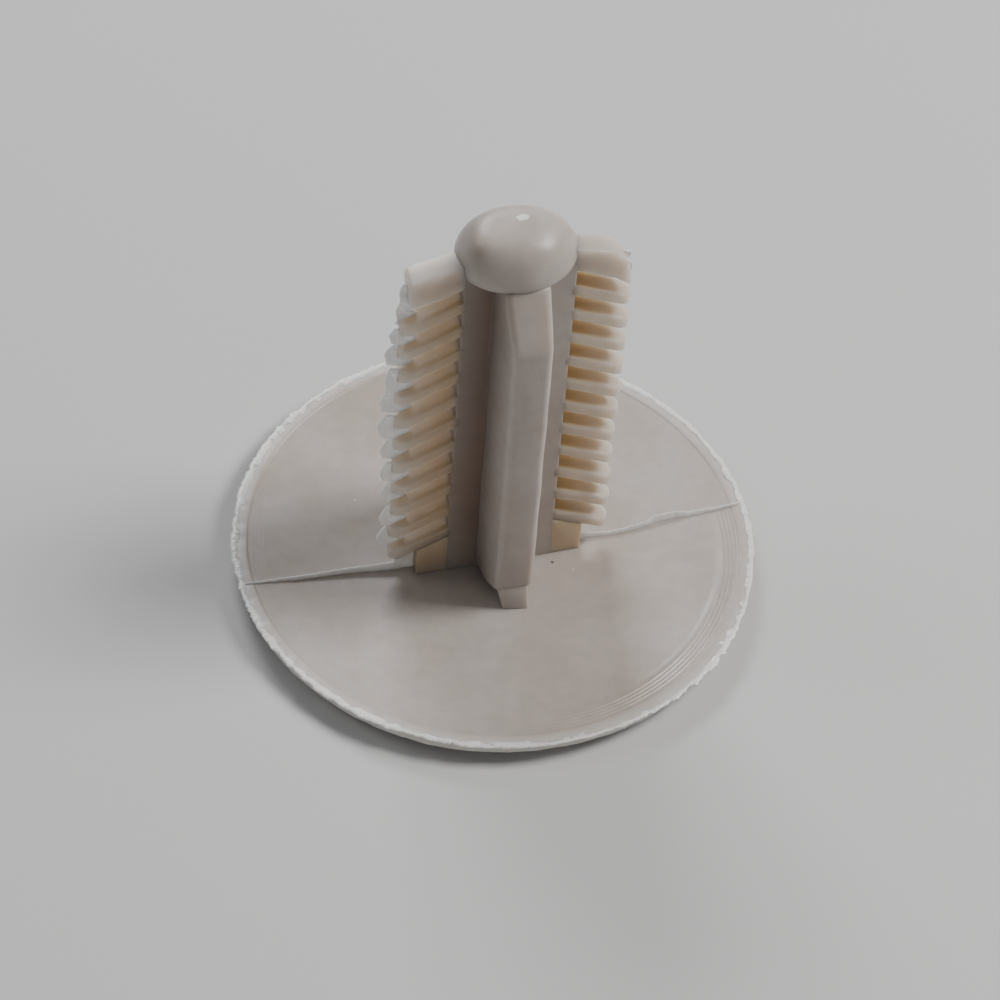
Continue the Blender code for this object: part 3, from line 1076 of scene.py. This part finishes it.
def build_tip(material):
    """Mushroom tip: a faceted dome with soft ridges and a chamfered underside."""
    planes = tip_planes()
    rings = []
    for level in range(1, TIP_LEVELS):
        rise = math.pi * (level / TIP_LEVELS - 0.5)
        ring = []
        for step in range(TIP_AROUND):
            way = direction(2.0 * math.pi * step / TIP_AROUND, rise)
            place = way * soft_reach(way, planes)
            place.y *= TIP_FLATTEN
            ring.append(tuple(place + TIP_CENTRE))
        rings.append(ring)
    mesh = loft("tip_skin", rings)
    roughen(mesh, 1.5 * MM, 0.05 * MM, 5.0)
    smooth(mesh, 60.0)
    tip = link("tip_skin", mesh, material)
    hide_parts("tip")


def build_gate_mark(material):
    """Scar of the runner on top of the tip."""
    rings = []
    for level, share in GATE_LEVELS:
        ring = []
        for step in range(GATE_AROUND):
            turn = 2.0 * math.pi * step / GATE_AROUND
            c, s = math.cos(turn), math.sin(turn)
            ragged = share * (1.0 + 0.18 * noise.noise(Vector((c * 2.0, s * 2.0, 3.0))))
            x = GATE_X + GATE_LONG * ragged * c
            y = GATE_Y + GATE_SHORT * ragged * s
            ring.append((x, y, GATE_Z + level))
        rings.append(ring)
    mesh = loft("gate_mark", np.array(rings) * MM)
    smooth(mesh, 50.0)
    # Whitened as thin flash, with a painted highlight on the scar.
    set_attribute(mesh, "thin", FLASH_THIN)
    link("gate_mark", mesh, material)


# ---------------------------------------------------------------- stage

def build_floor():
    """Plain pale floor."""
    half = FLOOR_HALF
    corners = [(-half, -half, 0.0), (half, -half, 0.0), (half, half, 0.0), (-half, half, 0.0)]
    mesh = bpy.data.meshes.new("floor")
    mesh.from_pydata(corners, [], [(0, 1, 2, 3)])
    floor = bpy.data.objects.new("floor", mesh)
    material = bpy.data.materials.new("Pale floor")
    material.use_nodes = True
    shader = material.node_tree.nodes["Principled BSDF"]
    shader.inputs["Base Color"].default_value = FLOOR_COLOUR
    shader.inputs["Roughness"].default_value = FLOOR_ROUGHNESS
    mesh.materials.append(material)
    floor.location.z = -FLOOR_DROP
    bpy.context.scene.collection.objects.link(floor)


def viewing_direction(azimuth, elevation):
    """Unit vector towards a viewer: azimuth from the front round to the right, in radians."""
    return direction(azimuth - 0.5 * math.pi, elevation)


def add_area(name, azimuth, elevation, distance, size, power, colour):
    """Soft rectangular light aimed at the middle of the object."""
    light = bpy.data.lights.new(name, "AREA")
    light.shape = "RECTANGLE"
    light.size, light.size_y = size
    light.energy = power
    light.color = colour
    obj = bpy.data.objects.new(name, light)
    back = viewing_direction(math.radians(azimuth), math.radians(elevation))
    obj.location = Vector(LIGHT_AIM) + back * distance
    obj.rotation_mode = "QUATERNION"
    obj.rotation_quaternion = (-back).to_track_quat("-Z", "Y")
    bpy.context.scene.collection.objects.link(obj)


def build_light():
    """Soft studio light: the key from the right, weaker ones from behind and the front."""
    world = bpy.data.worlds.new("Studio")
    world.use_nodes = True
    background = world.node_tree.nodes["Background"]
    background.inputs["Color"].default_value = SKY_COLOUR
    background.inputs["Strength"].default_value = SKY_STRENGTH
    bpy.context.scene.world = world
    for light in LIGHTS:
        add_area(*light)


def build_camera():
    """Camera turned to its azimuth, elevation and roll, aimed just above the head."""
    camera = bpy.data.cameras.new("Camera")
    camera.lens = CAMERA_LENS
    camera.sensor_width = CAMERA_SENSOR
    camera.clip_start = CAMERA_NEAREST
    obj = bpy.data.objects.new("Camera", camera)
    back = viewing_direction(CAMERA_AZIMUTH, CAMERA_ELEVATION)
    right = Vector((math.cos(CAMERA_AZIMUTH), math.sin(CAMERA_AZIMUTH), 0.0))
    up = back.cross(right)
    aim = Vector((0.0, 0.0, RIM_TOP)) + right * CAMERA_AIM_RIGHT + up * CAMERA_AIM_UP
    turned_right = right * math.cos(CAMERA_ROLL) + up * math.sin(CAMERA_ROLL)
    turned_up = up * math.cos(CAMERA_ROLL) - right * math.sin(CAMERA_ROLL)
    columns = (turned_right, turned_up, back, aim + back * CAMERA_DISTANCE)
    matrix = obj.matrix_world.copy()
    for column, values in enumerate(columns):
        for row in range(3):
            matrix[row][column] = values[row]
    obj.matrix_world = matrix
    bpy.context.scene.collection.objects.link(obj)
    bpy.context.scene.camera = obj


# ---------------------------------------------------------------- build

head_nylon = nylon("Head nylon", 0.35, 0.5, thin=True)
shank_nylon = nylon("Shank nylon", 0.40, 0.5, painted_shading=SHADE)
barb_nylon = nylon("Barb nylon", 0.36, 1.0, painted_shading=AMBER_SHADE, thin=True, reach=2.6)
gusset_nylon = nylon("Gusset nylon", 0.36, 0.8, painted_shading=GLOW, thin=True)
tip_nylon = nylon("Tip nylon", 0.36, 0.5)
flash_nylon = nylon("Flash nylon", 0.30, 0.6, thin=True, reach=0.25, spread=FLASH_SPREAD)
inclusion_dirt = nylon("Dark fleck", 0.6, 0.0, pale=DIRT_PALE, warm=DIRT_WARM)

build_head(head_nylon)
build_rim_flash(flash_nylon)
build_fins(flash_nylon)
build_inclusion(inclusion_dirt)
build_spine(shank_nylon)
for blade_name, blade_side in (("front", -1.0), ("rear", 1.0)):
    build_blade(blade_name + "_blade", blade_side, shank_nylon)
    build_foot(blade_name + "_foot", blade_side, shank_nylon)
for arm_name, arm_side in (("left", -1.0), ("right", 1.0)):
    for barb_level in range(1, LEVELS + 1):
        build_barb(arm_name, arm_side, barb_level, barb_nylon)
build_caps(barb_nylon)
for arm_name, arm_side in (("left", -1.0), ("right", 1.0)):
    build_gusset(arm_name + "_gusset", arm_side, gusset_nylon)
build_lobes(flash_nylon)
build_webs(flash_nylon)
build_tip(tip_nylon)
build_gate_mark(flash_nylon)
build_floor()
build_light()
build_camera()
